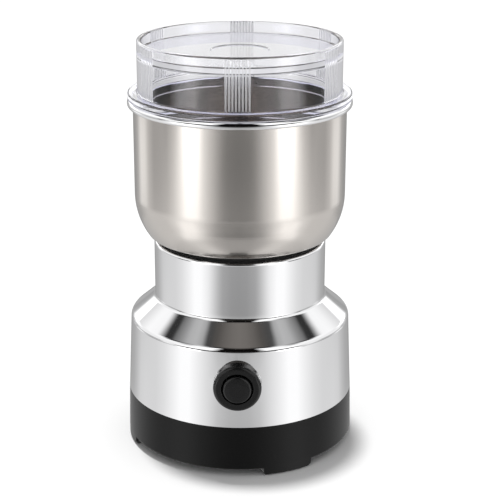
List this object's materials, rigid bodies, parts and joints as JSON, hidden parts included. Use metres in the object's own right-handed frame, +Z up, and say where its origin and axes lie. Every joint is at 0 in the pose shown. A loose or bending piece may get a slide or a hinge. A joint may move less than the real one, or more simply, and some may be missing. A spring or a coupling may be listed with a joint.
{
  "type": "electric spice grinder",
  "caption": "Small electric spice and coffee grinder: steel bowl with a spinning blade on a waisted steel body, push button, clear lift-off lid and black base.",
  "frame": {"origin": "on the table, under the axis of the motor, bowl and lid", "axes": "+Z up along the motor axis, -Y is the front with the push button, +X is to the right of the button"},
  "size_m": [0.1, 0.1069, 0.1781],
  "materials": {
    "clear_plastic": "clear moulded polystyrene, polished",
    "bowl_steel": "stainless steel, satin spun finish",
    "body_steel": "stainless steel, polished",
    "blade_steel": "stainless steel, tumbled",
    "black_rubber": "black rubber, matt",
    "black_moulded_plastic": "black moulded ABS, satin",
    "black_gloss_plastic": "black moulded ABS, semi-gloss",
    "zinc_plated_steel": "zinc-plated steel",
    "pressed_steel": "pressed steel sheet",
    "brown_moulded_plastic": "brown phenolic moulding",
    "sintered_bronze": "oil-soaked sintered bronze",
    "lamination_steel": "stack of varnished steel sheets",
    "enamelled_copper": "enamelled copper wire",
    "bare_copper": "bare copper",
    "shaft_steel": "ground steel",
    "brass": "pressed brass",
    "carbon": "pressed carbon",
    "spring_steel": "spring steel wire",
    "white_moulded_plastic": "white moulded nylon",
    "yellow_moulded_plastic": "yellow moulded plastic"
  },
  "bodies": {
    "housing": {"bowl": "bowl_steel", "bowl_collar": "black_rubber", "bowl_screws": "blade_steel", "shaft_seal": "black_rubber", "body_shell": "body_steel", "base_cover": "black_moulded_plastic", "foot_pads": "black_rubber", "base_screws": "zinc_plated_steel", "cable_inlet": "black_rubber", "motor_frame": "black_moulded_plastic", "motor_dampers": "black_rubber", "mounting_screws": "zinc_plated_steel", "upper_bracket": "pressed_steel", "lower_bracket": "brown_moulded_plastic", "upper_bearing": "sintered_bronze", "lower_bearing": "sintered_bronze", "bearing_retainers": "pressed_steel", "motor_bolts": "zinc_plated_steel", "stator_core": "lamination_steel", "field_coils": "enamelled_copper", "brush_holders": "brass", "carbon_brushes": "carbon", "brush_springs": "spring_steel", "brush_caps": "brass", "switch_bezel": "black_gloss_plastic", "switch_nut": "black_moulded_plastic", "switch_housing": "black_moulded_plastic", "switch_terminals": "brass", "button_spring": "spring_steel", "terminal_block": "white_moulded_plastic", "suppression_capacitor": "yellow_moulded_plastic"},
    "lid": {"lid": "clear_plastic"},
    "rotor": {"motor_shaft": "shaft_steel", "armature_core": "lamination_steel", "armature_windings": "enamelled_copper", "commutator_hub": "brown_moulded_plastic", "commutator_bars": "bare_copper", "thrust_washer": "pressed_steel", "cooling_fan": "black_moulded_plastic", "blade_spacer": "black_moulded_plastic", "blade": "blade_steel", "blade_washer": "blade_steel", "blade_nut": "blade_steel"},
    "button": {"button_cap": "black_gloss_plastic", "button_stem": "brass"}
  },
  "joints": [
    {"name": "lid_lift", "type": "slide", "parent": "housing", "child": "lid", "axis": [0, 0, 1], "range_m": [0, 0.06]},
    {"name": "rotor_spin", "type": "hinge", "parent": "housing", "child": "rotor", "pos_m": [0, 0, 0.06], "axis": [0, 0, 1], "continuous": true},
    {"name": "button_press", "type": "slide", "parent": "housing", "child": "button", "axis": [0, 1, 0], "range_m": [0, 0.0025], "stiffness_N_per_m": 800, "springref_m": -0.0025, "deforming": ["button_spring"]}
  ]
}
